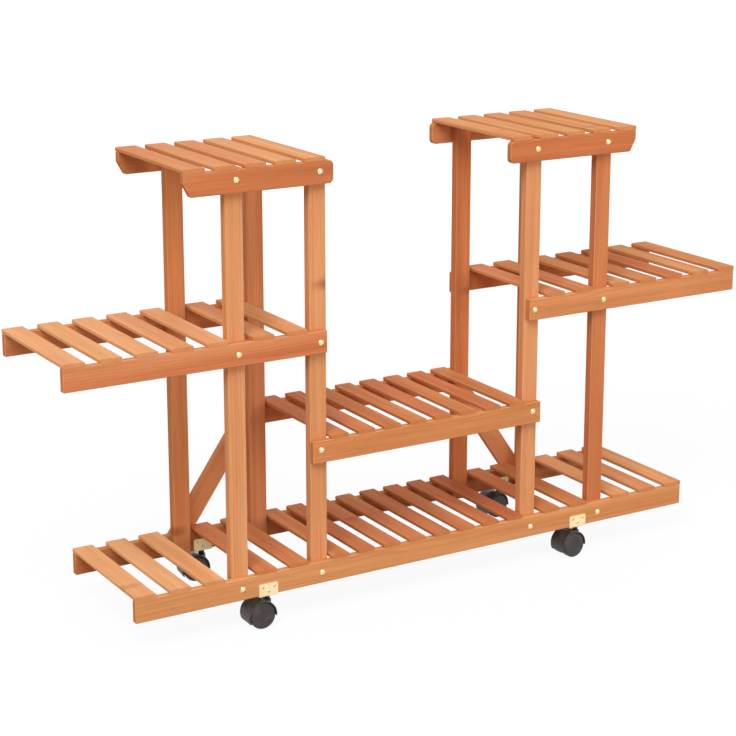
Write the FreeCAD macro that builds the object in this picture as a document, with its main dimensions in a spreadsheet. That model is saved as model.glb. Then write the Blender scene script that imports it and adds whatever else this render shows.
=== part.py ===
import FreeCAD, Part
import math
import os

import Sketcher

# A rolling plant stand: two towers of four posts each carry slatted shelves at
# four levels, and four hooded twin-wheel casters carry the long bottom rails.
# X runs along the stand, Y from front to back and Z up from the floor, in mm.

SIZES = {
    # timber sections
    "rail_height": 39.0,
    "rail_thick": 12.0,
    "slat_thick": 7.0,
    "slat_width": 38.0,
    "slat_width_bay": 33.0,
    "post_width": 32.0,
    "post_depth": 17.0,
    "brace_width": 37.0,
    "brace_thick": 12.0,
    "edge_ease": 1.2,
    # plan of the stand; the offset centres the depth over the casters on the origin
    "depth_offset": -1.72,
    "frame_depth": 262.0,
    "outer_post": 372.5,
    "inner_post": 219.0,
    "bottom_half": 570.0,
    "side_outer": 680.0,
    # how far the other ends of the rails lie past the bolts of the inner and outer posts
    "middle_half": 16.5,
    "side_inner": 11.5,
    "top_left_outer": 93.5,
    "top_left_inner": 25.0,
    "top_right_outer": 61.5,
    "top_right_inner": 59.0,
    # heights of the rails' lower edges above the floor
    "level_bottom": 54.0,
    "level_middle": 270.5,
    "level_side": 462.5,
    "level_top": 749.0,
    # bolt heights above the rails' lower edges
    "rise_bottom": 19.0,
    "rise_middle": 22.5,
    "rise_side": 19.0,
    "rise_top": 21.5,
    # slat spacing, and the least gap between a slat and a post
    "slat_gap": 3.0,
    "pitch_end": 62.5,
    "pitch_pair": 62.5,
    "pitch_bay": 52.3,
    "pitch_top_left": 54.6,
    "pitch_top_right": 57.5,
    # ends of the top rails
    "nose_length": 12.0,
    "nose_height": 22.0,
    "heel_radius": 9.0,
    # clearances of the posts
    "foot_gap": 2.0,
    "head_gap": 0.5,
    # bolts and the insert nuts in the posts
    "bolt_diameter": 6.0,
    "bolt_clearance": 0.4,
    "bolt_head": 10.5,
    "bolt_head_height": 2.6,
    "bolt_bevel": 1.4,
    "nut_diameter": 9.0,
    "nut_length": 12.0,
    "nut_fit": 0.1,
    "nut_clearance": 0.2,
    "nut_room": 1.0,
    # caster saddles, placed along X from the outer posts towards the inner ones
    "caster_x": 47.5,
    "saddle_width": 36.0,
    "saddle_height": 21.5,
    "saddle_thick": 1.6,
    "saddle_bend": 1.4,
    "saddle_corner": 3.0,
    "screw_diameter": 2.8,
    "screw_clearance": 0.2,
    "screw_head": 5.0,
    "screw_head_height": 1.4,
    "screw_bite": 4.8,
    "screw_side": 11.0,
    "screw_high": 15.5,
    "screw_low": 7.5,
    # caster kingpins
    "pin_diameter": 6.0,
    "pin_clearance": 0.18,
    "rivet_diameter": 8.0,
    "rivet_height": 2.0,
    "rivet_room": 0.5,
    "collar_diameter": 9.5,
    "collar_room": 1.0,
    "clip_diameter": 8.4,
    "clip_height": 2.4,
    "clip_room": 1.0,
    "swivel_gap": 0.4,
    # caster hoods and wheels
    "trail": 16.0,
    "wheel_radius": 23.0,
    "wheel_width": 11.0,
    "wheel_shoulder": 1.6,
    "wheel_face_depth": 0.7,
    "wheel_face_radius": 8.5,
    "wheel_cap": 1.8,
    "wheel_side_gap": 1.0,
    "web_width": 14.0,
    "web_drop": 10.0,
    "boss_diameter": 14.0,
    "boss_top": 45.0,
    "boss_bottom": 18.0,
    "hood_gap": 1.3,
    "hood_thick": 2.2,
    "hood_front": -6.0,
    "hood_rear": 206.0,
    "hood_round": 1.2,
    "axle_diameter": 5.0,
    "axle_fit": 0.1,
    "axle_clearance": 0.18,
    "axle_end_gap": 0.3,
    # how far each caster is turned as the stand rests
    "turn_front_left": -2.0,
    "turn_front_right": 3.0,
    "turn_back_left": -8.0,
    "turn_back_right": 8.0,
}

# how close two lengths in mm are where they count as the same
TOUCH = 0.01

doc = FreeCAD.newDocument("rolling_plant_stand")
sheet = doc.addObject("Spreadsheet::Sheet", "Sizes")
for row, (alias, number) in enumerate(SIZES.items(), start=1):
    sheet.set(f"A{row}", alias)
    sheet.set(f"B{row}", str(number))
    sheet.setAlias(f"B{row}", alias)
doc.recompute()


class Dim:
    """A length with its value and the expression that ties it to the sheet."""

    def __init__(self, text, value):
        self.text = text
        self.value = value

    def __add__(self, other):
        other = dim(other)
        return Dim(f"({self.text} + {other.text})", self.value + other.value)

    def __sub__(self, other):
        other = dim(other)
        return Dim(f"({self.text} - {other.text})", self.value - other.value)

    def __mul__(self, other):
        other = dim(other)
        return Dim(f"({self.text} * {other.text})", self.value * other.value)

    def __rmul__(self, other):
        return dim(other) * self

    def __truediv__(self, other):
        other = dim(other)
        return Dim(f"({self.text} / {other.text})", self.value / other.value)

    def __neg__(self):
        return Dim(f"(0 - {self.text})", -self.value)


def dim(number):
    """Turns a plain number into a Dim and leaves a Dim as it is."""
    if isinstance(number, Dim):
        return number
    return Dim(repr(number), float(number))


def size(alias):
    """The named cell of the sheet."""
    return Dim(f"Sizes.{alias}", SIZES[alias])


def sine(angle):
    """Sine of an angle in degrees."""
    return Dim(f"sin({angle.text} * 1 deg)", math.sin(math.radians(angle.value)))


def root(number):
    """Square root."""
    return Dim(f"sqrt({number.text})", math.sqrt(number.value))


def new_body(name, x=0, y=0, z=0, turn=None):
    """A body labelled with its own name and placed by the sheet."""
    body = doc.addObject("PartDesign::Body", name)
    body.Label = name
    body.AllowCompound = True
    if turn is not None:
        axis = FreeCAD.Vector(0, 0, 1)
        body.Placement = FreeCAD.Placement(FreeCAD.Vector(), FreeCAD.Rotation(axis, turn.value))
        body.setExpression("Placement.Rotation.Angle", f"{turn.text} * 1 deg")
    for letter, length in (("x", x), ("y", y), ("z", z)):
        if isinstance(length, Dim):
            body.setExpression(f"Placement.Base.{letter}", length.text)
    return body


def new_sketch(body, name, role, lift=None, shift=None):
    """A sketch on one of the body's own origin planes, lifted along its normal."""
    sketch = body.newObject("Sketcher::SketchObject", name)
    for feature in body.Origin.OriginFeatures:
        if feature.Role == role:
            sketch.AttachmentSupport = [(feature, "")]
    sketch.MapMode = "FlatFace"
    if lift is not None:
        sketch.setExpression("AttachmentOffset.Base.z", lift.text)
    if shift is not None:
        sketch.setExpression("AttachmentOffset.Base.x", shift.text)
    return sketch


def pin_point(sketch, geometry, point, x, y):
    """Ties one sketch point to its two coordinates."""
    for kind, axis, length in (("DistanceX", -2, dim(x)), ("DistanceY", -1, dim(y))):
        if length.text == "0":
            sketch.addConstraint(Sketcher.Constraint("PointOnObject", geometry, point, axis))
        else:
            rule = Sketcher.Constraint(kind, -1, 1, geometry, point, length.value)
            index = sketch.addConstraint(rule)
            sketch.setExpression(f"Constraints[{index}]", length.text)


def add_polygon(sketch, corners):
    """A closed outline through the corners, each tied to the sheet."""
    spots = [FreeCAD.Vector(dim(x).value, dim(y).value, 0) for x, y in corners]
    count = len(spots)
    first = sketch.GeometryCount
    for i in range(count):
        sketch.addGeometry(Part.LineSegment(spots[i], spots[(i + 1) % count]), False)
    for i in range(count):
        here, after = first + i, first + (i + 1) % count
        sketch.addConstraint(Sketcher.Constraint("Coincident", here, 2, after, 1))
    for i, (x, y) in enumerate(corners):
        pin_point(sketch, first + i, 1, x, y)


def add_circle(sketch, x, y, diameter):
    """A circle whose centre and diameter are tied to the sheet."""
    spot = FreeCAD.Vector(dim(x).value, dim(y).value, 0)
    circle = Part.Circle(spot, FreeCAD.Vector(0, 0, 1), diameter.value / 2)
    index = sketch.addGeometry(circle, False)
    pin_point(sketch, index, 3, x, y)
    rule = sketch.addConstraint(Sketcher.Constraint("Diameter", index, diameter.value))
    sketch.setExpression(f"Constraints[{rule}]", diameter.text)


def add_pad(body, sketch, name, length, both_ways=False, backward=False):
    """Pads a sketch, to one side or equally to both."""
    pad = body.newObject("PartDesign::Pad", name)
    pad.Profile = sketch
    pad.setExpression("Length", length.text)
    pad.SideType = "Symmetric" if both_ways else "One side"
    pad.Reversed = backward
    return pad


def add_through_pocket(body, sketch, name):
    """Cuts a sketch through the whole body, both ways from its plane."""
    pocket = body.newObject("PartDesign::Pocket", name)
    pocket.Profile = sketch
    pocket.Type = "ThroughAll"
    pocket.SideType = "Symmetric"


def add_pocket(body, sketch, name, depth, along=True):
    """Cuts a sketch to a depth, along its normal or against it."""
    pocket = body.newObject("PartDesign::Pocket", name)
    pocket.Profile = sketch
    pocket.setExpression("Length", depth.text)
    pocket.Reversed = along


def add_turning(body, sketch, name):
    """Revolves a sketch fully round its own upright axis."""
    turning = body.newObject("PartDesign::Revolution", name)
    turning.Profile = sketch
    turning.ReferenceAxis = (sketch, ["V_Axis"])
    turning.Angle = 360.0


def edge_names(shape, wanted):
    """Names of the shape's edges that answer to the test."""
    return [f"Edge{i}" for i, edge in enumerate(shape.Edges, start=1) if wanted(edge)]


def add_ease(body, base, name):
    """Takes the sharpness off every edge of a board."""
    doc.recompute()
    ease = body.newObject("PartDesign::Chamfer", name)
    ease.Base = (base, edge_names(base.Shape, lambda edge: True))
    ease.setExpression("Size", size("edge_ease").text)


def add_rounding(body, base, name, radius, wanted):
    """Rounds the edges that answer to the test."""
    doc.recompute()
    rounding = body.newObject("PartDesign::Fillet", name)
    rounding.Base = (base, edge_names(base.Shape, wanted))
    rounding.setExpression("Radius", radius.text)
    return rounding


def add_row(body, originals, name, length, count):
    """Repeats features along X."""
    row = body.newObject("PartDesign::LinearPattern", name)
    row.Originals = originals
    for feature in body.Origin.OriginFeatures:
        if feature.Role == "X_Axis":
            row.Direction = (feature, [""])
    row.setExpression("Length", length.text)
    row.Occurrences = count
    body.Tip = row


# planes shared by the pieces
rail_height, rail_thick = size("rail_height"), size("rail_thick")
slat_thick, slat_width = size("slat_thick"), size("slat_width")
post_width, post_depth = size("post_width"), size("post_depth")
outer_post, inner_post = size("outer_post"), size("inner_post")
middle_plane = size("depth_offset")
front_face = middle_plane - size("frame_depth") / 2
back_face = middle_plane + size("frame_depth") / 2
front_rail = front_face + rail_thick / 2
back_rail = back_face - rail_thick / 2
front_post = front_face + rail_thick + post_depth / 2
back_post = back_face - rail_thick - post_depth / 2
tower = (outer_post + inner_post) / 2
level = {key: size(f"level_{key}") for key in ("bottom", "middle", "side", "top")}
rise = {key: size(f"rise_{key}") for key in ("bottom", "middle", "side", "top")}
bolt_height = {key: level[key] + rise[key] for key in level}
bolt_hole = size("bolt_diameter") + size("bolt_clearance")
screw_hole = size("screw_diameter") + size("screw_clearance")
caster_x = outer_post - size("caster_x")
screw_spots = (
    (-size("screw_side"), size("screw_high")),
    (size("screw_side"), size("screw_high")),
    (dim(0), size("screw_low")),
)
bolt_stations = {
    "bottom": (-outer_post, -inner_post, inner_post, outer_post),
    "middle": (-inner_post, inner_post),
    "side": (-outer_post, -inner_post, inner_post, outer_post),
    "top": (-outer_post, -inner_post, inner_post, outer_post),
}


def make_rail(name, x0, x1, y, key, stations, nose=None):
    """A rail from x0 to x1 with its bolt holes; nose is the end with a cut lower corner."""
    middle = (x0 + x1) / 2
    reach = (x1 - x0) / 2
    half = rail_height / 2
    body = new_body(name, middle, y, level[key] + half)
    outline = new_sketch(body, name + "_outline", "XZ_Plane")
    drop = size("nose_height") - half
    step = reach - size("nose_length")
    if nose == "left":
        corners = [(-step, -half), (reach, -half), (reach, half), (-reach, half), (-reach, drop)]
    elif nose == "right":
        corners = [(-reach, -half), (step, -half), (reach, drop), (reach, half), (-reach, half)]
    else:
        corners = [(-reach, -half), (reach, -half), (reach, half), (-reach, half)]
    add_polygon(outline, corners)
    board = add_pad(body, outline, name + "_board", rail_thick, both_ways=True)
    if nose is not None:
        heel = reach.value if nose == "left" else -reach.value
        board = add_rounding(
            body, board, name + "_heel", size("heel_radius"),
            lambda edge: abs(edge.BoundBox.XMax - heel) < TOUCH and edge.BoundBox.XLength < TOUCH
            and edge.BoundBox.ZLength < TOUCH,
        )
    add_ease(body, board, name + "_ease")
    holes = new_sketch(body, name + "_bolts", "XZ_Plane")
    for station in stations:
        add_circle(holes, station - middle, rise[key] - half, bolt_hole)
    add_through_pocket(body, holes, name + "_bolt_holes")
    if key == "bottom":
        pilots = new_sketch(body, name + "_pilots", "XZ_Plane")
        for side in (-caster_x, caster_x):
            for across, up in screw_spots:
                add_circle(pilots, side + across, up - half, screw_hole)
        add_through_pocket(body, pilots, name + "_pilot_holes")
        sockets = new_sketch(body, name + "_sockets", "XY_Plane", -half)
        for side in (-caster_x, caster_x):
            add_circle(sockets, side, 0, size("rivet_diameter") + size("rivet_room"))
        depth = size("rivet_height") + size("rivet_room")
        add_pocket(body, sockets, name + "_rivet_rooms", depth)
    return body


def make_post(name, x, y, with_middle, forward):
    """A post from the bottom rail to just under the top slats; a forward one has its nut sockets at -Y."""
    foot = level["bottom"] + size("foot_gap")
    head = level["top"] + rail_height - size("head_gap")
    centre = (foot + head) / 2
    half = (head - foot) / 2
    body = new_body(name, x, y, centre)
    outline = new_sketch(body, name + "_outline", "XZ_Plane")
    side = post_width / 2
    add_polygon(outline, [(-side, -half), (side, -half), (side, half), (-side, half)])
    board = add_pad(body, outline, name + "_board", post_depth, both_ways=True)
    add_ease(body, board, name + "_ease")
    outer = post_depth / 2 if forward else -post_depth / 2
    sockets = new_sketch(body, name + "_sockets", "XZ_Plane", outer)
    for key in ("bottom", "middle", "side", "top"):
        if key != "middle" or with_middle:
            add_circle(sockets, 0, bolt_height[key] - centre, size("nut_diameter") + size("nut_fit"))
    depth = size("nut_length") + size("nut_room")
    add_pocket(body, sockets, name + "_nut_sockets", depth, along=not forward)
    return body


def add_slat(body, name, x, width):
    """One slat with eased long edges, its middle at x, as a pad of the body."""
    ease = size("edge_ease")
    half, side = slat_thick / 2, width / 2
    section = new_sketch(body, name + "_section", "XZ_Plane")
    left, right = x - side, x + side
    add_polygon(section, [
        (left + ease, -half), (right - ease, -half), (right, ease - half), (right, half - ease),
        (right - ease, half), (left + ease, half), (left, half - ease), (left, ease - half),
    ])
    return add_pad(body, section, name, size("frame_depth"), both_ways=True)


def slats_in(room, width, pitch):
    """How many slats of one width the room holds at the pitch."""
    return int((room.value + pitch.value - width.value) / pitch.value)


def make_slats(name, key, rows):
    """Slats on one shelf: each row is its first slat's middle, width, pitch and count."""
    body = new_body(name, 0, middle_plane, level[key] + rail_height + slat_thick / 2)
    for number, (first, width, pitch, count) in enumerate(rows, start=1):
        if count > 0:
            slat = add_slat(body, f"{name}_slat{number}", first, width)
        if count > 1:
            add_row(body, [slat], f"{name}_row{number}", pitch * (count - 1), count)
    return body


def make_brace(name, side):
    """A brace from the outer post's foot to the inner post's middle bolt, trimmed to the frame."""
    run = outer_post - inner_post
    climb = bolt_height["middle"] - bolt_height["bottom"]
    slope = root(run * run + climb * climb)
    spread = size("brace_width") / 2 * slope
    base, head = level["bottom"], level["middle"] + rail_height
    far, near = outer_post + post_width / 2, inner_post - post_width / 2
    low_x = outer_post - (spread / climb) + run * (bolt_height["bottom"] - base) / climb
    far_z = bolt_height["bottom"] + (spread - climb * (far - outer_post)) / run
    near_z = bolt_height["middle"] - (spread - climb * (inner_post - near)) / run
    high_x = inner_post + spread / climb - run * (head - bolt_height["middle"]) / climb
    corners = [(low_x, base), (far, base), (far, far_z), (high_x, head), (near, head), (near, near_z)]
    body = new_body(name, 0, back_face + size("brace_thick") / 2, 0)
    outline = new_sketch(body, name + "_outline", "XZ_Plane")
    add_polygon(outline, [(side * x, z) for x, z in corners])
    board = add_pad(body, outline, name + "_board", size("brace_thick"), both_ways=True)
    add_ease(body, board, name + "_ease")
    holes = new_sketch(body, name + "_bolts", "XZ_Plane")
    add_circle(holes, side * outer_post, bolt_height["bottom"], bolt_hole)
    add_circle(holes, side * inner_post, bolt_height["middle"], bolt_hole)
    add_through_pocket(body, holes, name + "_bolt_holes")
    return body


def braced(key, station):
    """Whether a brace lies under the bolt head at this back station."""
    low = key == "bottom" and abs(abs(station.value) - outer_post.value) < TOUCH
    high = key == "middle" and abs(abs(station.value) - inner_post.value) < TOUCH
    return low or high


def add_bolts(body, name, spots, lift, shank, forward):
    """Bolts at the spots, their heads lifted from the body's plane; forward heads face -Y."""
    stems = new_sketch(body, name + "_stems", "XZ_Plane", lift)
    for x, z in spots:
        add_circle(stems, x, z, size("bolt_diameter"))
    add_pad(body, stems, name + "_shanks", shank, backward=forward)
    caps = new_sketch(body, name + "_caps", "XZ_Plane", lift)
    for x, z in spots:
        add_circle(caps, x, z, size("bolt_head"))
    heads = add_pad(body, caps, name + "_heads", size("bolt_head_height"), backward=not forward)
    doc.recompute()
    sign = -1.0 if forward else 1.0
    outer = sign * size("bolt_head_height").value - lift.value
    rim = size("bolt_head").value / 2
    bevel = body.newObject("PartDesign::Chamfer", name + "_bevels")
    bevel.Base = (heads, edge_names(
        heads.Shape,
        lambda edge: isinstance(edge.Curve, Part.Circle) and abs(edge.Curve.Radius - rim) < TOUCH
        and abs(edge.CenterOfMass.y - outer) < TOUCH,
    ))
    bevel.setExpression("Size", size("bolt_bevel").text)


def make_bolts(name, face, forward):
    """All the bolts of one side of the stand."""
    body = new_body(name, 0, face, 0)
    grip = rail_thick + size("nut_length")
    plain, long = [], []
    for key, stations in bolt_stations.items():
        for station in stations:
            spot = (station, bolt_height[key])
            if not forward and braced(key, station):
                long.append(spot)
            else:
                plain.append(spot)
    add_bolts(body, name + "_plain", plain, dim(0.0), grip, forward)
    if long:
        thick = size("brace_thick")
        add_bolts(body, name + "_long", long, -thick, grip + thick, forward)
    return body


def make_nuts(name, face, forward):
    """Insert nuts set flush in the posts' outer faces; forward ones reach along +Y."""
    body = new_body(name, 0, face, 0)
    rings = new_sketch(body, name + "_rings", "XZ_Plane")
    bore = size("bolt_diameter") + size("nut_clearance")
    for key, stations in bolt_stations.items():
        for station in stations:
            add_circle(rings, station, bolt_height[key], size("nut_diameter"))
            add_circle(rings, station, bolt_height[key], bore)
    add_pad(body, rings, name + "_sleeves", size("nut_length"), backward=forward)
    return body


def make_saddle(name, x, y):
    """The bracket that straddles a bottom rail and holds a caster's kingpin."""
    thick, half = size("saddle_thick"), rail_thick / 2
    body = new_body(name, x, y, level["bottom"])
    section = new_sketch(body, name + "_section", "YZ_Plane")
    top, wall = size("saddle_height"), half + thick
    add_polygon(section, [
        (-wall, -thick), (wall, -thick), (wall, top), (half, top),
        (half, 0), (-half, 0), (-half, top), (-wall, top),
    ])
    plate = add_pad(body, section, name + "_plate", size("saddle_width"), both_ways=True)
    under, rim = -thick.value, top.value
    bent = add_rounding(
        body, plate, name + "_bends", size("saddle_bend"),
        lambda edge: abs(edge.BoundBox.ZMax - under) < TOUCH and edge.BoundBox.YLength < TOUCH,
    )
    add_rounding(
        body, bent, name + "_corners", size("saddle_corner"),
        lambda edge: abs(edge.BoundBox.ZMin - rim) < TOUCH and edge.BoundBox.XLength < TOUCH,
    )
    drills = new_sketch(body, name + "_drills", "XZ_Plane")
    for across, up in screw_spots:
        add_circle(drills, across, up, screw_hole)
    add_through_pocket(body, drills, name + "_screw_holes")
    eye = new_sketch(body, name + "_eye", "XY_Plane")
    add_circle(eye, 0, 0, size("pin_diameter") + size("screw_clearance"))
    add_through_pocket(body, eye, name + "_pin_hole")
    return body


def make_screws(name):
    """The small round-headed screws of all the saddles, in from both faces of each rail."""
    body = new_body(name)
    wall = rail_thick / 2 + size("saddle_thick")
    for row, rail in (("front", front_rail), ("back", back_rail)):
        for face, forward in ((rail - wall, True), (rail + wall, False)):
            tag = f"{name}_{row}_{'near' if forward else 'far'}"
            stems = new_sketch(body, tag + "_stems", "XZ_Plane", -face)
            caps = new_sketch(body, tag + "_caps", "XZ_Plane", -face)
            for side in (-caster_x, caster_x):
                for across, up in screw_spots:
                    x, z = side + across, level["bottom"] + up
                    add_circle(stems, x, z, size("screw_diameter"))
                    add_circle(caps, x, z, size("screw_head"))
            shank = size("saddle_thick") + size("screw_bite")
            add_pad(body, stems, tag + "_shanks", shank, backward=forward)
            add_pad(body, caps, tag + "_heads", size("screw_head_height"), backward=not forward)
    return body


def make_kingpin(name, x, y):
    """The caster's stem: riveted over the saddle, with a collar, a pivot and a flared end."""
    body = new_body(name, x, y, 0)
    section = new_sketch(body, name + "_section", "XZ_Plane")
    base = level["bottom"]
    under = base - size("saddle_thick")
    pin = size("pin_diameter") / 2
    rivet, collar, clip = (size(f"{part}_diameter") / 2 for part in ("rivet", "collar", "clip"))
    rest = size("boss_top") + size("swivel_gap")
    hold = size("boss_bottom") - size("swivel_gap")
    add_polygon(section, [
        (0, hold - size("clip_height")), (clip, hold - size("clip_height")), (clip, hold),
        (pin, hold), (pin, rest), (collar, rest), (collar, under), (pin, under), (pin, base),
        (rivet, base), (rivet, base + size("rivet_height")), (0, base + size("rivet_height")),
    ])
    add_turning(body, section, name + "_turning")
    return body


def add_arc(sketch, radius, start_height, stop_height):
    """An arc over the wheel's middle, from its front end to its rear end at the given heights."""
    x, z = -size("trail"), size("wheel_radius")
    begin = math.asin((start_height.value - z.value) / radius.value)
    end = math.pi - math.asin((stop_height.value - z.value) / radius.value)
    circle = Part.Circle(FreeCAD.Vector(x.value, z.value, 0), FreeCAD.Vector(0, 0, 1), radius.value)
    index = sketch.addGeometry(Part.ArcOfCircle(circle, begin, end), False)
    pin_point(sketch, index, 3, x, z)
    rule = sketch.addConstraint(Sketcher.Constraint("Radius", index, radius.value))
    sketch.setExpression(f"Constraints[{rule}]", radius.text)
    for point, height in ((1, start_height), (2, stop_height)):
        rule = sketch.addConstraint(Sketcher.Constraint("DistanceY", -1, 1, index, point, height.value))
        sketch.setExpression(f"Constraints[{rule}]", height.text)
    return index


def add_link(sketch, first, first_point, second, second_point):
    """A straight line between the ends of two arcs."""
    start = sketch.getPoint(first, first_point)
    stop = sketch.getPoint(second, second_point)
    index = sketch.addGeometry(Part.LineSegment(start, stop), False)
    sketch.addConstraint(Sketcher.Constraint("Coincident", index, 1, first, first_point))
    sketch.addConstraint(Sketcher.Constraint("Coincident", index, 2, second, second_point))


def make_hood(name, x, y, turn):
    """The hood: a web between the wheels, an arch over them, and a boss that swivels on the kingpin."""
    body = new_body(name, x, y, 0, turn)
    axle_z, trail = size("wheel_radius"), size("trail")
    inner = size("wheel_radius") + size("hood_gap")
    outer = inner + size("hood_thick")
    reach = size("web_width") / 2 + size("wheel_side_gap") + size("wheel_width")
    low = axle_z - size("web_drop")
    web = new_sketch(body, name + "_web", "XZ_Plane")
    rim = add_arc(web, outer, low, low)
    add_link(web, rim, 2, rim, 1)
    add_pad(body, web, name + "_web_plate", size("web_width"), both_ways=True)
    arch = new_sketch(body, name + "_arch", "XZ_Plane")
    front, rear = sine(size("hood_front")), sine(size("hood_rear"))
    over = add_arc(arch, outer, axle_z + outer * front, axle_z + outer * rear)
    under = add_arc(arch, inner, axle_z + inner * front, axle_z + inner * rear)
    add_link(arch, over, 1, under, 1)
    add_link(arch, over, 2, under, 2)
    shell = add_pad(body, arch, name + "_arch_shell", reach * 2, both_ways=True)
    rim_radius, rim_side = outer.value, reach.value
    add_rounding(
        body, shell, name + "_arch_rims", size("hood_round"),
        lambda edge: isinstance(edge.Curve, Part.Circle) and abs(edge.Curve.Radius - rim_radius) < TOUCH
        and abs(abs(edge.CenterOfMass.y) - rim_side) < TOUCH,
    )
    boss = new_sketch(body, name + "_boss", "XY_Plane", size("boss_bottom"))
    add_circle(boss, 0, 0, size("boss_diameter"))
    add_pad(body, boss, name + "_boss_post", size("boss_top") - size("boss_bottom"))
    seat = new_sketch(body, name + "_seat", "XY_Plane", size("boss_top"))
    add_circle(seat, 0, 0, size("collar_diameter") + size("collar_room"))
    add_pocket(body, seat, name + "_collar_seat", outer)
    bore = new_sketch(body, name + "_bore", "XY_Plane")
    add_circle(bore, 0, 0, size("pin_diameter") + size("pin_clearance"))
    add_through_pocket(body, bore, name + "_pin_bore")
    room = new_sketch(body, name + "_room", "XY_Plane")
    add_circle(room, 0, 0, size("clip_diameter") + size("clip_room"))
    add_pocket(body, room, name + "_clip_room", size("boss_bottom"))
    hole = new_sketch(body, name + "_hole", "XZ_Plane")
    add_circle(hole, -trail, axle_z, size("axle_diameter") + size("axle_fit"))
    add_through_pocket(body, hole, name + "_axle_hole")
    return body


def make_axle(name, x, y, turn):
    """The axle, pressed through the hood's web, on whose ends the wheels turn."""
    body = new_body(name, x, y, 0, turn)
    reach = size("web_width") / 2 + size("wheel_side_gap") + size("wheel_width")
    end = reach - size("wheel_cap") - size("wheel_face_depth") - size("axle_end_gap")
    section = new_sketch(body, name + "_section", "XZ_Plane")
    add_circle(section, -size("trail"), size("wheel_radius"), size("axle_diameter"))
    add_pad(body, section, name + "_rod", end * 2, both_ways=True)
    return body


def make_wheel(name, x, y, turn, side):
    """A wheel with a closed outer face, turning on one end of the axle."""
    body = new_body(name, x, y, 0, turn)
    section = new_sketch(body, name + "_section", "XY_Plane", size("wheel_radius"), -size("trail"))
    radius, shoulder = size("wheel_radius"), size("wheel_shoulder")
    bore = (size("axle_diameter") + size("axle_clearance")) / 2
    near = size("web_width") / 2 + size("wheel_side_gap")
    far = near + size("wheel_width")
    face = far - size("wheel_face_depth")
    eye = size("wheel_face_radius")
    blind = face - size("wheel_cap")
    profile = [
        (bore, near), (radius - shoulder / 2, near), (radius, near + shoulder / 2),
        (radius, far - shoulder), (radius - shoulder, far), (eye + size("wheel_face_depth"), far),
        (eye, face), (0, face), (0, blind), (bore, blind),
    ]
    add_polygon(section, [(r, side * y) for r, y in profile])
    add_turning(body, section, name + "_turning")
    return body


# rails
pieces = []
outer_end, inner_end = size("side_outer"), inner_post - size("side_inner")
top_left = (-outer_post - size("top_left_outer"), size("top_left_inner") - inner_post)
top_right = (inner_post - size("top_right_inner"), outer_post + size("top_right_outer"))
for row, y in (("front", front_rail), ("back", back_rail)):
    half = size("bottom_half")
    pieces.append(make_rail(f"rail_bottom_{row}", -half, half, y, "bottom", bolt_stations["bottom"]))
    half = inner_post + size("middle_half")
    pieces.append(make_rail(f"rail_middle_{row}", -half, half, y, "middle", bolt_stations["middle"]))
    left, right = (-outer_post, -inner_post), (inner_post, outer_post)
    pieces.append(make_rail(f"rail_side_left_{row}", -outer_end, -inner_end, y, "side", left))
    pieces.append(make_rail(f"rail_side_right_{row}", inner_end, outer_end, y, "side", right))
    pieces.append(make_rail(f"rail_top_left_{row}", *top_left, y, "top", left, "left"))
    pieces.append(make_rail(f"rail_top_right_{row}", *top_right, y, "top", right, "right"))

# posts and braces
for row, y, forward in (("front", front_post, True), ("back", back_post, False)):
    pieces.append(make_post(f"post_left_outer_{row}", -outer_post, y, False, forward))
    pieces.append(make_post(f"post_left_inner_{row}", -inner_post, y, True, forward))
    pieces.append(make_post(f"post_right_inner_{row}", inner_post, y, True, forward))
    pieces.append(make_post(f"post_right_outer_{row}", outer_post, y, False, forward))
pieces.append(make_brace("brace_left", -1))
pieces.append(make_brace("brace_right", 1))

# slats: each row has as many as its room between posts, or along its rails, holds at its pitch
half_slat, bay_width = slat_width / 2, size("slat_width_bay")
pitch_end, pitch_pair, pitch_bay = size("pitch_end"), size("pitch_pair"), size("pitch_bay")
keep_off = post_width / 2 + size("slat_gap")
bay_count = slats_in((inner_post - keep_off) * 2, bay_width, pitch_bay)
bay = (-pitch_bay * (bay_count - 1) / 2, bay_width, pitch_bay, bay_count)
pair_count = slats_in(outer_post - inner_post - keep_off * 2, slat_width, pitch_pair)
half_pair = pitch_pair * (pair_count - 1) / 2
pair_left = (-tower - half_pair, slat_width, pitch_pair, pair_count)
pair_right = (tower - half_pair, slat_width, pitch_pair, pair_count)
low_count = slats_in(size("bottom_half") - outer_post - keep_off, slat_width, pitch_end)
low_end, low_run = size("bottom_half") - half_slat, pitch_end * (low_count - 1)
low_left = (-low_end, slat_width, pitch_end, low_count)
low_right = (low_end - low_run, slat_width, pitch_end, low_count)
wing_count = slats_in(outer_end - outer_post - keep_off, slat_width, pitch_end)
wing_end, wing_run = outer_end - half_slat, pitch_end * (wing_count - 1)
wing_left = (-wing_end, slat_width, pitch_end, wing_count)
wing_right = (wing_end - wing_run, slat_width, pitch_end, wing_count)
pitch_left, pitch_right = size("pitch_top_left"), size("pitch_top_right")
cap_left_count = slats_in(top_left[1] - top_left[0], slat_width, pitch_left)
cap_left = (top_left[0] + half_slat, slat_width, pitch_left, cap_left_count)
cap_right_count = slats_in(top_right[1] - top_right[0], slat_width, pitch_right)
cap_run = pitch_right * (cap_right_count - 1)
cap_right = (top_right[1] - half_slat - cap_run, slat_width, pitch_right, cap_right_count)
pieces.append(make_slats("slats_bottom_left", "bottom", [low_left, pair_left]))
pieces.append(make_slats("slats_bottom_middle", "bottom", [bay]))
pieces.append(make_slats("slats_bottom_right", "bottom", [pair_right, low_right]))
pieces.append(make_slats("slats_middle", "middle", [bay]))
pieces.append(make_slats("slats_side_left", "side", [wing_left, pair_left]))
pieces.append(make_slats("slats_side_right", "side", [pair_right, wing_right]))
pieces.append(make_slats("slats_top_left", "top", [cap_left]))
pieces.append(make_slats("slats_top_right", "top", [cap_right]))

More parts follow.
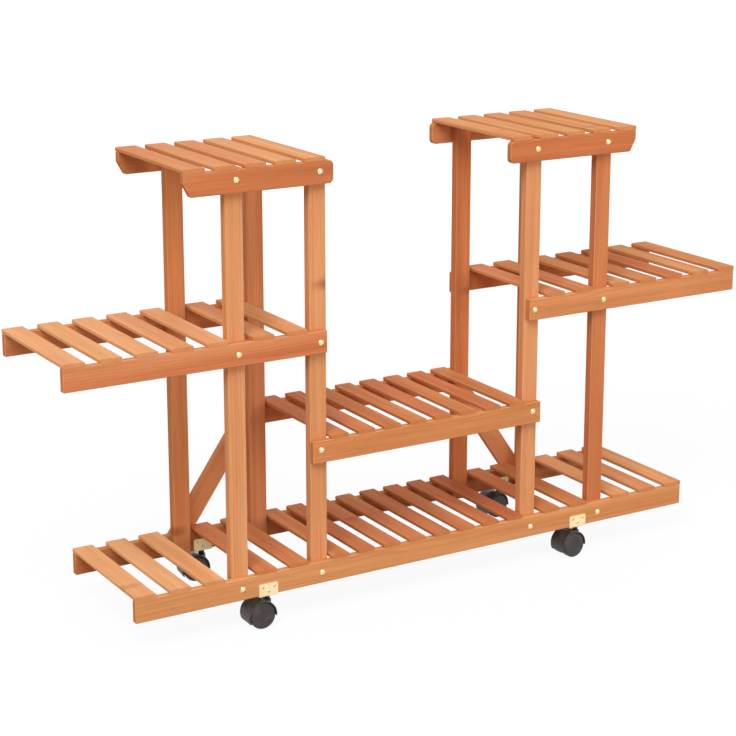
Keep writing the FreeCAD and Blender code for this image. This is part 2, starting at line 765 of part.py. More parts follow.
# bolts and nuts
pieces.append(make_bolts("bolts_front", front_face, True))
pieces.append(make_bolts("bolts_back", back_face, False))
pieces.append(make_nuts("nuts_front", front_face + rail_thick, True))
pieces.append(make_nuts("nuts_back", back_face - rail_thick, False))

# casters
corners_of_stand = (
    ("front_left", -caster_x, front_rail),
    ("front_right", caster_x, front_rail),
    ("back_left", -caster_x, back_rail),
    ("back_right", caster_x, back_rail),
)
pieces.append(make_screws("saddle_screws"))
for tag, x, y in corners_of_stand:
    turn = size(f"turn_{tag}")
    pieces.append(make_saddle(f"caster_{tag}_saddle", x, y))
    pieces.append(make_kingpin(f"caster_{tag}_kingpin", x, y))
    pieces.append(make_hood(f"caster_{tag}_hood", x, y, turn))
    pieces.append(make_axle(f"caster_{tag}_axle", x, y, turn))
    pieces.append(make_wheel(f"caster_{tag}_wheel_near", x, y, turn, -1))
    pieces.append(make_wheel(f"caster_{tag}_wheel_far", x, y, turn, 1))

doc.recompute()
for item in doc.Objects:
    if "Invalid" in item.State or "Error" in item.State:
        raise ValueError(f"{item.Name} did not recompute: {item.State}")
for piece in pieces:
    if piece.Shape.isNull() or not piece.Shape.isValid():
        raise ValueError(f"{piece.Label} has no valid shape")

os.makedirs("parts", exist_ok=True)
for piece in pieces:
    piece.Shape.exportStep(f"parts/{piece.Label}.step")
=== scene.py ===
import logging
import math
from dataclasses import dataclass, field
from enum import Enum

import bmesh
import bpy
from mathutils import Euler, Matrix, Vector


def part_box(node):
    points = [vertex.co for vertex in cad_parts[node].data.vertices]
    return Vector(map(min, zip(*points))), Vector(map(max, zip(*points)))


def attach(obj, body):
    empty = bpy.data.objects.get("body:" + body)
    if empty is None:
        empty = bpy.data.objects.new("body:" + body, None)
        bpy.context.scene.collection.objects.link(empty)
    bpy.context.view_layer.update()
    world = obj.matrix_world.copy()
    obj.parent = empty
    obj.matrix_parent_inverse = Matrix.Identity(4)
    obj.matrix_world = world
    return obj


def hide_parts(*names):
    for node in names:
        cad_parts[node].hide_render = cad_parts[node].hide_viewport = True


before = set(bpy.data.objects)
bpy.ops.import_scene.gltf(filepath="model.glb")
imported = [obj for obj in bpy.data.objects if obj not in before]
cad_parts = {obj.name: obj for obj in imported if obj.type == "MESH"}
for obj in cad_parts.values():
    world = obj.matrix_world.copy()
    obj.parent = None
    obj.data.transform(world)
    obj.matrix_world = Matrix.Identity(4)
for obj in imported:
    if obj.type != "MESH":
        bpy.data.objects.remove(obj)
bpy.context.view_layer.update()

# The looks of a slatted plant stand in stained softwood that rolls on four hooded casters.
# Lengths are in metres unless a name ends in mm, and the frame is the solids' own.

Tree = bpy.types.NodeTree
Socket = bpy.types.NodeSocket
Form = bmesh.types.BMesh

log = logging.getLogger("plant_stand")
IMAGE_PIXELS = 736
SENSOR_MM = 36.0
CLIP_END = 100.0
MM = 0.001
METRE_MM = 1000.0
SHARP_ANGLE = math.radians(38.0)
WHITE = "#FFFFFF"
# nearly all values of a noise texture lie between these two
NOISE_LOW = 0.3
NOISE_HIGH = 0.7
# how steeply the braces rise, in degrees
BRACE_RISE = 55.1
# waist of a cross recess as a share of its reach, and how sharply its arms stand out
CROSS_WAIST = 0.3
CROSS_POWER = 3


def linear(code: str) -> tuple[float, float, float, float]:
    """Turns an sRGB hex colour into the linear colour that sockets take.

    Args:
        code: Six hex digits, with or without a leading hash.

    Returns:
        Linear red, green and blue, and an alpha of one.
    """
    digits = code.lstrip("#")
    channels = [int(digits[i:i + 2], 16) / 255.0 for i in (0, 2, 4)]
    bent = [c / 12.92 if c <= 0.04045 else ((c + 0.055) / 1.055) ** 2.4 for c in channels]
    return (bent[0], bent[1], bent[2], 1.0)


def add_node(
    tree: Tree, kind: str, inputs: dict | None = None, **settings: object,
) -> bpy.types.Node:
    """Adds a node with its settings, its constant inputs and its links.

    Args:
        tree: The node tree that gets the node.
        kind: The node's type name.
        inputs: Input name or index to a constant or to an output socket.
        settings: Attributes of the node; stops are (place, colour) pairs of a ramp.

    Returns:
        The new node.
    """
    node = tree.nodes.new(kind)
    for name, value in settings.items():
        if name == "stops":
            ramp = node.color_ramp.elements
            while len(ramp) < len(value):
                ramp.new(1.0)
            for element, (place, colour) in zip(ramp, value):
                element.position = place
                element.color = colour
        else:
            setattr(node, name, value)
    for name, value in (inputs or {}).items():
        if isinstance(value, Socket):
            tree.links.new(value, node.inputs[name])
        else:
            node.inputs[name].default_value = value
    return node


def new_material(name: str) -> tuple[bpy.types.Material, Tree]:
    """Makes an empty node material.

    Args:
        name: The material's name.

    Returns:
        The material and its node tree.
    """
    material = bpy.data.materials.new(name)
    material.use_nodes = True
    material.node_tree.nodes.clear()
    return material, material.node_tree


class Grain(Enum):
    """Which way a board's fibres run, as the turn that lays them along X."""

    ALONG_X = (0.0, 0.0, 0.0)
    ALONG_Y = (0.0, 0.0, -90.0)
    ALONG_Z = (0.0, 90.0, 0.0)
    RISING_RIGHT = (0.0, BRACE_RISE, 0.0)
    RISING_LEFT = (0.0, -BRACE_RISE, 0.0)

    def turn(self) -> Euler:
        """The turn as Euler angles."""
        return Euler([math.radians(a) for a in self.value])


@dataclass(frozen=True)
class BoardRow:
    """Where the slats of one shelf part lie along X, so that each gets its own piece of timber.

    Attributes:
        first_mm: Middle of the first slat.
        pitch_mm: Distance between slats.
        split_mm: Where a second row of slats begins; far away if there is none.
        second_mm: Middle of the second row's first slat.
        second_row_shade: How much paler the second row is painted; the darker row is the one under a tower,
            so this is painted shade.
    """

    first_mm: float
    pitch_mm: float
    split_mm: float = 9000.0
    second_mm: float = 9000.0
    second_row_shade: float = 0.0


@dataclass(frozen=True)
class StainedFir:
    """Planed fir under an orange-brown stain that dries nearly matt.

    The stain sinks into the soft early wood and leaves the late wood as darker, redder
    lines along the board. The eye sees soft streaks and slow blotches of colour, faint
    year rings that come and go, a few knots as dark smears across the board, ends that
    drank the stain evenly, and paler edges, partly where the sander broke them and partly
    as a painted highlight.

    Attributes:
        name: The material's name.
        grain: The way the fibres run.
        seed: Which part of the tree this board was cut from.
        tone_and_shade: How pale the board is, from nought for red-brown to one for pale gold: how it took the
            stain, and on boards in shade partly painted shade.
        row: The slats' places, where the piece is a row of slats.
        knots: How much the knots show, from nought to one.
    """

    name: str
    grain: Grain
    seed: int
    tone_and_shade: float
    row: BoardRow | None = None
    knots: float = 0.6

    # the tree: its span, its year rings and how they wander, in millimetres or per millimetre
    TREE_MM = (900.0, 340.0, 260.0)
    RING_MM = 5.5
    WANDER_MM = 26.0
    WANDER_WAVES = (0.0022, 0.016, 0.016)
    WANDER_MIX = 0.45
    TAPER = (0.012, 1.0, 1.0)
    # widths across the fibres, how many times longer strands are along them, and their finer share
    FIBRE_MM = 1.1
    STREAK_MM = 9.0
    BLOTCH_MM = 34.0
    LONG = 24.0
    STRAND_MIX = 0.55
    # knots: their spacing, its squeeze along and across the fibres, the core and rim of a knot as
    # shares of it, and how far rings bend round one
    KNOT_MM = 240.0
    KNOT_SQUEEZE = (2.6, 1.1, 0.9)
    KNOT_CORE = 0.03
    KNOT_RIM = 0.17
    KNOT_PUSH_MM = 8.0
    # what picks the timber: seeds kept for each row of slats, and a fraction added to every seed
    ROW_SEEDS = 20
    SEED_PART = 0.37
    # one year's growth as moments and darkness, the noise at which rings are gone or full, and
    # how much of the late wood's colour they take
    YEAR = ((0.0, 0.0), (0.4, 0.1), (0.8, 1.0), (1.0, 0.0))
    RINGS_GONE = 0.4
    RINGS_FULL = 0.66
    RING_SHARE = 0.3
    # colours of the stained wood, from red-brown to pale gold, and of what differs from it
    STAINS = ((0.0, "#A65A36"), (0.35, "#CB7A4A"), (0.6, "#DE9A66"), (1.0, "#F0B581"))
    LATE_WOOD = "#AE5626"
    KNOT_WOOD = "#7A3818"
    END_WOOD = "#C67A47"
    # the paler edge colour is partly thinned stain and partly a painted highlight
    EDGE_WOOD_AND_HIGHLIGHT = "#E9B078"
    # how far tone, brightness and hue stray
    BLOTCH_TONE = 0.11
    BOARD_TONE = 0.05
    STREAK_LIGHT = (0.9, 1.08)
    FIBRE_LIGHT = (0.94, 1.05)
    BOARD_HUE = (0.4955, 0.504)
    # how squarely a face looks where end grain begins and is full, and where edges are and end
    END_FACING = (0.8, 0.95)
    END_SHARE = 0.5
    # edges get a paler colour, partly thinned stain and partly painted highlight
    EDGE_FACING = (0.72, 0.9)
    EDGE_HIGHLIGHT_SHARE = 0.22
    # the dried stain's surface
    ROUGHNESS = (0.62, 0.78)
    IOR = 1.5
    GLOSS = 0.03
    RELIEF = 0.22
    RELIEF_DEPTH = 0.0003

    def build(self) -> bpy.types.Material:
        """Builds the material.

        Returns:
            The finished wood.
        """
        material, tree = new_material(self.name)
        place = add_node(tree, "ShaderNodeTexCoord")
        later = self._second_row(tree, place.outputs["Object"])
        board = self._board_number(tree, place.outputs["Object"], later)
        jitter = add_node(tree, "ShaderNodeTexWhiteNoise", {"W": board}, noise_dimensions="1D")
        turned = add_node(
            tree, "ShaderNodeMapping",
            {"Vector": place.outputs["Object"], "Rotation": self.grain.turn(), "Scale": (METRE_MM,) * 3},
        )
        timber = add_node(
            tree, "ShaderNodeVectorMath",
            {0: jitter.outputs["Color"], 1: self.TREE_MM, 2: turned.outputs["Vector"]},
            operation="MULTIPLY_ADD",
        ).outputs["Vector"]
        facing = add_node(
            tree, "ShaderNodeMapping", {"Vector": place.outputs["Normal"], "Rotation": self.grain.turn()},
            vector_type="VECTOR",
        ).outputs["Vector"]
        knot = self._knots(tree, timber)
        rings = self._rings(tree, timber, knot)
        fibre = self._strands(tree, timber, self.FIBRE_MM, 3.0)
        colour = self._colour(tree, timber, rings, fibre, jitter, later)
        # the colour with knots, ends and paler edges, the edges partly painted highlight
        worn_and_highlit = self._edges_and_ends(tree, facing, colour, knot)
        rough = add_node(
            tree, "ShaderNodeMapRange",
            {
                "Value": fibre, "From Min": NOISE_LOW, "From Max": NOISE_HIGH,
                "To Min": self.ROUGHNESS[0], "To Max": self.ROUGHNESS[1],
            },
        )
        relief = add_node(tree, "ShaderNodeMath", {0: fibre, 1: rings}, operation="ADD")
        bump = add_node(
            tree, "ShaderNodeBump",
            {"Height": relief.outputs["Value"], "Strength": self.RELIEF, "Distance": self.RELIEF_DEPTH},
        )
        surface = add_node(
            tree, "ShaderNodeBsdfPrincipled",
            {
                "Base Color": worn_and_highlit, "Roughness": rough.outputs["Result"], "Normal": bump.outputs["Normal"],
                "IOR": self.IOR, "Specular IOR Level": self.GLOSS,
            },
        )
        add_node(tree, "ShaderNodeOutputMaterial", {"Surface": surface.outputs["BSDF"]})
        return material

    def _second_row(self, tree: Tree, place: Socket) -> Socket | float:
        """Tells the slats of a second row from those of the first.

        Args:
            tree: The material's nodes.
            place: Object coordinates in metres.

        Returns:
            One in the second row, and nought elsewhere.
        """
        if self.row is None:
            return 0.0
        along = add_node(tree, "ShaderNodeSeparateXYZ", {"Vector": place}).outputs["X"]
        return add_node(
            tree, "ShaderNodeMath", {0: along, 1: self.row.split_mm * MM}, operation="GREATER_THAN",
        ).outputs["Value"]

    def _board_number(self, tree: Tree, place: Socket, later: Socket | float) -> Socket | float:
        """Numbers the slats of a row, or gives a lone board its seed.

        Args:
            tree: The material's nodes.
            place: Object coordinates in metres.
            later: One in a second row of slats.

        Returns:
            The number that picks the board's timber.
        """
        if self.row is None:
            return self.seed + self.SEED_PART
        first, pitch = self.row.first_mm, self.row.pitch_mm
        steps = round((self.row.second_mm - first) / pitch)
        slip = self.row.second_mm - first - steps * pitch
        back = add_node(tree, "ShaderNodeMath", {0: later, 1: slip}, operation="MULTIPLY").outputs["Value"]
        number = add_node(tree, "ShaderNodeSeparateXYZ", {"Vector": place}).outputs["X"]
        for operation, operand in (
            ("MULTIPLY", METRE_MM), ("SUBTRACT", back), ("SUBTRACT", first - pitch / 2),
            ("DIVIDE", pitch), ("FLOOR", 0.0), ("ADD", self.seed * self.ROW_SEEDS + self.SEED_PART),
        ):
            step = add_node(tree, "ShaderNodeMath", {0: number, 1: operand}, operation=operation)
            number = step.outputs["Value"]
        return number

    def _strands(self, tree: Tree, timber: Socket, width_mm: float, detail: float) -> Socket:
        """Draws noise that is stretched along the fibres.

        Args:
            tree: The material's nodes.
            timber: Place in the tree, in millimetres, fibres along X.
            width_mm: How wide a strand is across the fibres.
            detail: How much finer noise it carries.

        Returns:
            Noise about a half.
        """
        squeeze = (1.0 / (self.LONG * width_mm), 1.0 / width_mm, 1.0 / width_mm)
        squeezed = add_node(tree, "ShaderNodeVectorMath", {0: timber, 1: squeeze}, operation="MULTIPLY")
        return add_node(
            tree, "ShaderNodeTexNoise",
            {
                "Vector": squeezed.outputs["Vector"], "Scale": 1.0, "Detail": detail,
                "Roughness": self.STRAND_MIX,
            },
        ).outputs["Fac"]

    def _knots(self, tree: Tree, timber: Socket) -> Socket:
        """Scatters knots through the timber, each a short dark smear across the board.

        Args:
            tree: The material's nodes.
            timber: Place in the tree, in millimetres, fibres along X.

        Returns:
            One in the middle of a knot, falling to nought around it.
        """
        squeeze = tuple(share / self.KNOT_MM for share in self.KNOT_SQUEEZE)
        squeezed = add_node(tree, "ShaderNodeVectorMath", {0: timber, 1: squeeze}, operation="MULTIPLY")
        cells = add_node(
            tree, "ShaderNodeTexVoronoi",
            {"Vector": squeezed.outputs["Vector"], "Scale": 1.0, "Randomness": 1.0},
        )
        near = add_node(
            tree, "ShaderNodeMapRange",
            {
                "Value": cells.outputs["Distance"], "From Min": self.KNOT_CORE, "From Max": self.KNOT_RIM,
                "To Min": self.knots, "To Max": 0.0,
            },
            interpolation_type="SMOOTHSTEP",
        )
        return near.outputs["Result"]

    def _rings(self, tree: Tree, timber: Socket, knot: Socket) -> Socket:
        """Draws the year rings about the middle of the tree, faint in places.

        Args:
            tree: The material's nodes.
            timber: Place in the tree, in millimetres, fibres along X.
            knot: How near a knot is, since the lines bend round it.

        Returns:
            Nought in early wood, rising to one in late wood.
        """
        wander_place = add_node(
            tree, "ShaderNodeVectorMath", {0: timber, 1: self.WANDER_WAVES}, operation="MULTIPLY",
        )
        wander = add_node(
            tree, "ShaderNodeTexNoise",
            {
                "Vector": wander_place.outputs["Vector"], "Scale": 1.0, "Detail": 2.0,
                "Roughness": self.WANDER_MIX,
            },
        )
        tapered = add_node(tree, "ShaderNodeVectorMath", {0: timber, 1: self.TAPER}, operation="MULTIPLY")
        pushed = add_node(
            tree, "ShaderNodeVectorMath",
            {0: wander.outputs["Color"], 1: (self.WANDER_MM,) * 3, 2: tapered.outputs["Vector"]},
            operation="MULTIPLY_ADD",
        )
        from_pith = add_node(
            tree, "ShaderNodeVectorMath", {0: pushed.outputs["Vector"]}, operation="LENGTH",
        ).outputs["Value"]
        round_knot = add_node(
            tree, "ShaderNodeMath", {0: knot, 1: self.KNOT_PUSH_MM, 2: from_pith}, operation="MULTIPLY_ADD",
        ).outputs["Value"]
        years = add_node(
            tree, "ShaderNodeMath", {0: round_knot, 1: 1.0 / self.RING_MM}, operation="MULTIPLY",
        ).outputs["Value"]
        saw = add_node(tree, "ShaderNodeMath", {0: years}, operation="FRACT").outputs["Value"]
        late = add_node(
            tree, "ShaderNodeValToRGB", {"Fac": saw},
            stops=[(moment, (grey, grey, grey, 1.0)) for moment, grey in self.YEAR],
        ).outputs["Color"]
        showing = add_node(
            tree, "ShaderNodeMapRange",
            {
                "Value": self._strands(tree, timber, 2.0 * self.STREAK_MM, 1.0),
                "From Min": self.RINGS_GONE, "From Max": self.RINGS_FULL,
            },
        ).outputs["Result"]
        return add_node(tree, "ShaderNodeMath", {0: late, 1: showing}, operation="MULTIPLY").outputs["Value"]

    def _colour(
        self, tree: Tree, timber: Socket, rings: Socket, fibre: Socket, jitter: bpy.types.Node,
        later: Socket | float,
    ) -> Socket:
        """Mixes the stained colours of the long grain.

        Args:
            tree: The material's nodes.
            timber: Place in the tree, in millimetres, fibres along X.
            rings: Late wood.
            fibre: Fine streaks.
            jitter: Random numbers for each board.
            later: One in a second row of slats.

        Returns:
            The colour before knots, ends and edges.
        """
        apart = add_node(tree, "ShaderNodeSeparateColor", {"Color": jitter.outputs["Color"]})
        each = add_node(
            tree, "ShaderNodeMapRange",
            {
                "Value": apart.outputs["Red"],
                "To Min": self.tone_and_shade - self.BOARD_TONE, "To Max": self.tone_and_shade + self.BOARD_TONE,
            },
        )
        blotch = add_node(
            tree, "ShaderNodeMapRange",
            {
                "Value": self._strands(tree, timber, self.BLOTCH_MM, 2.0),
                "From Min": NOISE_LOW, "From Max": NOISE_HIGH,
                "To Min": -self.BLOTCH_TONE, "To Max": self.BLOTCH_TONE,
            },
        )
        # the board's tone, partly painted shade, plus slow blotches
        stain_and_shade = add_node(
            tree, "ShaderNodeMath", {0: each.outputs["Result"], 1: blotch.outputs["Result"]}, operation="ADD",
        ).outputs["Value"]
        # the second row is shifted paler or darker, which paints the pair of slats under a tower darker as
        # painted shade
        if self.row is not None:
            stain_and_shade = add_node(
                tree, "ShaderNodeMath", {0: later, 1: self.row.second_row_shade, 2: stain_and_shade},
                operation="MULTIPLY_ADD",
            ).outputs["Value"]
        base = add_node(
            tree, "ShaderNodeValToRGB", {"Fac": stain_and_shade},
            stops=[(moment, linear(code)) for moment, code in self.STAINS],
        )
        ring_share = add_node(tree, "ShaderNodeMath", {0: rings, 1: self.RING_SHARE}, operation="MULTIPLY")
        lined = add_node(
            tree, "ShaderNodeMix",
            {"Factor": ring_share.outputs["Value"], "A": base.outputs["Color"], "B": linear(self.LATE_WOOD)},
            data_type="RGBA",
        )
        soft = add_node(
            tree, "ShaderNodeMapRange",
            {
                "Value": self._strands(tree, timber, self.STREAK_MM, 2.0),
                "From Min": NOISE_LOW, "From Max": NOISE_HIGH,
                "To Min": self.STREAK_LIGHT[0], "To Max": self.STREAK_LIGHT[1],
            },
        )
        fine = add_node(
            tree, "ShaderNodeMapRange",
            {
                "Value": fibre, "From Min": NOISE_LOW, "From Max": NOISE_HIGH,
                "To Min": self.FIBRE_LIGHT[0], "To Max": self.FIBRE_LIGHT[1],
            },
        )
        warmth = add_node(
            tree, "ShaderNodeMapRange",
            {"Value": apart.outputs["Green"], "To Min": self.BOARD_HUE[0], "To Max": self.BOARD_HUE[1]},
        )
        streaked = add_node(
            tree, "ShaderNodeMath", {0: soft.outputs["Result"], 1: fine.outputs["Result"]},
            operation="MULTIPLY",
        )
        return add_node(
            tree, "ShaderNodeHueSaturation",
            {
                "Color": lined.outputs["Result"], "Hue": warmth.outputs["Result"],
                "Value": streaked.outputs["Value"],
            },
        ).outputs["Color"]

    def _edges_and_ends(self, tree: Tree, facing: Socket, colour: Socket, knot: Socket) -> Socket:
        """Adds knots, evens out the end grain and paints broken edges paler, partly as thinned stain and
        partly as a painted highlight.

        Args:
            tree: The material's nodes.
            facing: The way the surface faces, fibres along X.
            colour: The colour of the long grain.
            knot: Knots.

        Returns:
            The surface colour.
        """
        flat = add_node(tree, "ShaderNodeVectorMath", {0: facing}, operation="ABSOLUTE").outputs["Vector"]
        sides = add_node(tree, "ShaderNodeSeparateXYZ", {"Vector": flat})
        end = add_node(
            tree, "ShaderNodeMapRange",
            {
                "Value": sides.outputs["X"], "From Min": self.END_FACING[0], "From Max": self.END_FACING[1],
                "To Min": 0.0, "To Max": self.END_SHARE,
            },
        ).outputs["Result"]
        wide = add_node(
            tree, "ShaderNodeMath", {0: sides.outputs["Y"], 1: sides.outputs["Z"]}, operation="MAXIMUM",
        ).outputs["Value"]
        most = add_node(
            tree, "ShaderNodeMath", {0: wide, 1: sides.outputs["X"]}, operation="MAXIMUM",
        ).outputs["Value"]
        # paler broken edges: partly thinned stain, partly painted highlight
        edge = add_node(
            tree, "ShaderNodeMapRange",
            {
                "Value": most, "From Min": self.EDGE_FACING[0], "From Max": self.EDGE_FACING[1],
                "To Min": self.EDGE_HIGHLIGHT_SHARE, "To Max": 0.0,
            },
        ).outputs["Result"]
        for share, code in ((knot, self.KNOT_WOOD), (end, self.END_WOOD), (edge, self.EDGE_WOOD_AND_HIGHLIGHT)):
            mixed = add_node(
                tree, "ShaderNodeMix", {"Factor": share, "A": colour, "B": linear(code)}, data_type="RGBA",
            )
            colour = mixed.outputs["Result"]
        return colour


@dataclass(frozen=True)
class ShopFinish:
    """What plating, plastic and steel share: a tint, a haze and a relief that follow patterns.

    Attributes:
        name: The material's name.
        low: The colour where the tint's pattern is weak.
        high: The colour where it is strong.
        roughness: How dull the surface is at its middle.
    """

    name: str
    low: str
    high: str
    roughness: float

    # the pattern's values at both colours, how far dulling strays either way, and the relief
    TINT_SPAN = (0.3, 0.65)
    SHINIER = 0.06
    DULLER = 0.1
    RELIEF = 0.2
    RELIEF_DEPTH = 0.0001

    def _coat(self, tree: Tree, tint: Socket, haze: Socket, height: Socket, more: dict[str, float]) -> None:
        """Builds the surface from its patterns.

        Args:
            tree: The material's nodes.
            tint: The pattern that the colour follows.
            haze: The pattern that dulls the shine.
            height: The pattern that stands out.
            more: Plain values of the shader.
        """
        colour = add_node(
            tree, "ShaderNodeValToRGB", {"Fac": tint},
            stops=list(zip(self.TINT_SPAN, (linear(self.low), linear(self.high)))),
        )
        dull = add_node(
            tree, "ShaderNodeMapRange",
            {
                "Value": haze, "From Min": NOISE_LOW, "From Max": NOISE_HIGH,
                "To Min": self.roughness - self.SHINIER, "To Max": self.roughness + self.DULLER,
            },
        )
        bump = add_node(
            tree, "ShaderNodeBump",
            {"Height": height, "Strength": self.RELIEF, "Distance": self.RELIEF_DEPTH},
        )
        surface = add_node(
            tree, "ShaderNodeBsdfPrincipled",
            {
                "Base Color": colour.outputs["Color"], "Roughness": dull.outputs["Result"],
                "Normal": bump.outputs["Normal"], **more,
            },
        )
        add_node(tree, "ShaderNodeOutputMaterial", {"Surface": surface.outputs["BSDF"]})


@dataclass(frozen=True)
class PlatedBrass(ShopFinish):
    """Steel with a bright yellow plating.

    Plating follows the pressed or turned steel below it, so the eye sees a pale gold
    mirror, softened by fine draw lines and a little dulling.

    Attributes:
        line_mm: Spacing of the draw lines, coarser than real so that they show.
        bare: How much of the metal's mirror shows; the rest is a pale passive film.
    """

    line_mm: float
    bare: float = 1.0

    # length and depth of a draw line, and spacing of the dull clouds
    LINE_SPAN_MM = (6.667, 2.5)
    CLOUD_MM = 8.333
    SHINIER = 0.07
    RELIEF = 0.15

    def build(self) -> bpy.types.Material:
        """Builds the material.

        Returns:
            The finished plating.
        """
        material, tree = new_material(self.name)
        place = add_node(tree, "ShaderNodeTexCoord").outputs["Object"]
        squeeze = tuple(METRE_MM / span for span in (*self.LINE_SPAN_MM, self.line_mm))
        drawn = add_node(tree, "ShaderNodeMapping", {"Vector": place, "Scale": squeeze})
        lines = add_node(
            tree, "ShaderNodeTexNoise", {"Vector": drawn.outputs["Vector"], "Scale": 1.0, "Detail": 3.0},
        ).outputs["Fac"]
        cloud = add_node(
            tree, "ShaderNodeTexNoise", {"Vector": place, "Scale": METRE_MM / self.CLOUD_MM, "Detail": 2.0},
        ).outputs["Fac"]
        self._coat(tree, lines, cloud, lines, {"Metallic": self.bare})
        return material


@dataclass(frozen=True)
class MouldedPlastic(ShopFinish):
    """Black nylon from a spark-eroded mould.

    The mould leaves a fine even texture, so the eye sees a dark grey sheen on the
    shoulders and greyer scuffs where the plastic has rubbed.

    Attributes:
        grit_mm: Size of the mould texture.
    """

    grit_mm: float

    # spacing of the scuffs
    WEAR_MM = 14.286
    TINT_SPAN = (0.5, 0.78)
    IOR = 1.53

    def build(self) -> bpy.types.Material:
        """Builds the material.

        Returns:
            The finished plastic.
        """
        material, tree = new_material(self.name)
        place = add_node(tree, "ShaderNodeTexCoord").outputs["Object"]
        grit = add_node(
            tree, "ShaderNodeTexNoise", {"Vector": place, "Scale": METRE_MM / self.grit_mm, "Detail": 2.0},
        ).outputs["Fac"]
        wear = add_node(
            tree, "ShaderNodeTexNoise", {"Vector": place, "Scale": METRE_MM / self.WEAR_MM, "Detail": 5.0},
        ).outputs["Fac"]
        self._coat(tree, wear, wear, grit, {"IOR": self.IOR})
        return material


@dataclass(frozen=True)
class TurnedSteel(ShopFinish):
    """Steel from the lathe, blackened or bright.

    Turning leaves rings round the pin, so its shine is drawn out into bands.

    Attributes:
        metallic: One for bare steel, less under a black finish.
        line_mm: Spacing of the turning lines.
    """

    metallic: float
    line_mm: float = 0.6

    # how far a line keeps its look round the pin
    ROUND_MM = 16.667
    TINT_SPAN = (0.35, 0.65)
    SHINIER = 0.05
    DULLER = 0.12

    def build(self) -> bpy.types.Material:
        """Builds the material.

        Returns:
            The finished steel.
        """
        material, tree = new_material(self.name)
        place = add_node(tree, "ShaderNodeTexCoord").outputs["Object"]
        squeeze = tuple(METRE_MM / span for span in (self.ROUND_MM, self.ROUND_MM, self.line_mm))
        turned = add_node(tree, "ShaderNodeMapping", {"Vector": place, "Scale": squeeze})
        lines = add_node(
            tree, "ShaderNodeTexNoise", {"Vector": turned.outputs["Vector"], "Scale": 1.0, "Detail": 2.0},
        ).outputs["Fac"]
        self._coat(tree, lines, lines, lines, {"Metallic": self.metallic})
        return material


def dress(node: str, material: bpy.types.Material) -> None:
    """Gives a solid its finish in place of the plain one it came with.

    Args:
        node: The solid's name.
        material: Its finish.
    """
    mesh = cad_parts[node].data
    mesh.materials.clear()
    mesh.materials.append(material)
    log.info("%s dressed in %s", node, material.name)


@dataclass
class Timber:
    """The posts, rails and braces, each cut from its own board.

    Attributes:
        tones_and_shade: How the boards that show most took the stain; the back posts' darker values are
            partly painted shade.
        back_tone_and_shade: How the others took it, set darker partly as painted shade.
        brace_tone: How the braces took it.
        braces: The way the grain of each brace runs.
        first_seed: The first board's seed, clear of the slats' seeds.
        rail_knots: How much the knots of the rails show.
    """

    tones_and_shade: dict[str, float] = field(
        default_factory=lambda: {
            # the back posts are set darker than the front ones, partly as painted shade
            "rail_bottom_front": 0.52, "rail_middle_front": 0.4, "rail_side_left_front": 0.48,
            "rail_side_right_front": 0.46, "rail_top_left_front": 0.3, "rail_top_right_front": 0.25,
            "post_left_outer_front": 0.56, "post_left_inner_front": 0.57, "post_right_inner_front": 0.55,
            "post_right_outer_front": 0.42, "post_left_outer_back": 0.4, "post_left_inner_back": 0.5,
            "post_right_inner_back": 0.3,
        },
    )
    # the other back boards are set darker, partly as painted shade
    back_tone_and_shade: float = 0.38
    brace_tone: float = 0.56
    braces: dict[str, Grain] = field(
        default_factory=lambda: {"brace_left": Grain.RISING_RIGHT, "brace_right": Grain.RISING_LEFT},
    )
    first_seed: int = 40
    rail_knots: float = 0.45

    def dress_all(self) -> None:
        """Gives each board its own wood."""
        for seed, node in enumerate(sorted(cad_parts), start=self.first_seed):
            name, tone_and_shade = f"stained_fir_{node}", self.tones_and_shade.get(node, self.back_tone_and_shade)
            if node.startswith("rail_"):
                dress(node, StainedFir(name, Grain.ALONG_X, seed, tone_and_shade, knots=self.rail_knots).build())
            elif node.startswith("post_"):
                dress(node, StainedFir(name, Grain.ALONG_Z, seed, tone_and_shade).build())
            elif node in self.braces:
                dress(node, StainedFir(name, self.braces[node], seed, self.brace_tone).build())


@dataclass
class Shelves:
    """The slats, in rows along the rails.

    Attributes:
        rows: Where the slats of each shelf part lie.
        tones_and_shade: How pale the slats of each shelf part are: how they took the stain, and darker in the
            middle bay and under the towers as painted shade.
        knots: How much the knots of the slats show.
    """

    rows: dict[str, BoardRow] = field(
        default_factory=lambda: {
            # where a row has a second part, its shift paints the pair of slats under a tower darker, as
            # painted shade
            "slats_bottom_left": BoardRow(-551.0, 62.5, -390.0, -327.0, -0.36),
            "slats_bottom_middle": BoardRow(-183.05, 52.3),
            "slats_bottom_right": BoardRow(264.5, 62.5, 390.0, 426.0, 0.2),
            "slats_middle": BoardRow(-183.05, 52.3),
            "slats_side_left": BoardRow(-661.0, 62.5, -375.0, -327.0, -0.2),
            "slats_side_right": BoardRow(264.5, 62.5, 375.0, 411.0),
            "slats_top_left": BoardRow(-447.0, 54.6),
            "slats_top_right": BoardRow(185.0, 57.5),
        },
    )
    tones_and_shade: dict[str, float] = field(
        default_factory=lambda: {
            # the middle bay's rows and the pairs under the towers are set darker, partly as painted shade
            "slats_bottom_left": 0.71, "slats_bottom_middle": 0.34, "slats_bottom_right": 0.36,
            "slats_middle": 0.34, "slats_side_left": 0.72, "slats_side_right": 0.47,
            "slats_top_left": 0.54, "slats_top_right": 0.6,
        },
    )
    knots: float = 0.25

    def dress_all(self) -> None:
        """Gives each row of slats its wood."""
        for seed, (node, row) in enumerate(sorted(self.rows.items())):
            name, tone_and_shade = f"stained_fir_{node}", self.tones_and_shade[node]
            dress(node, StainedFir(name, Grain.ALONG_Y, seed, tone_and_shade, row, self.knots).build())


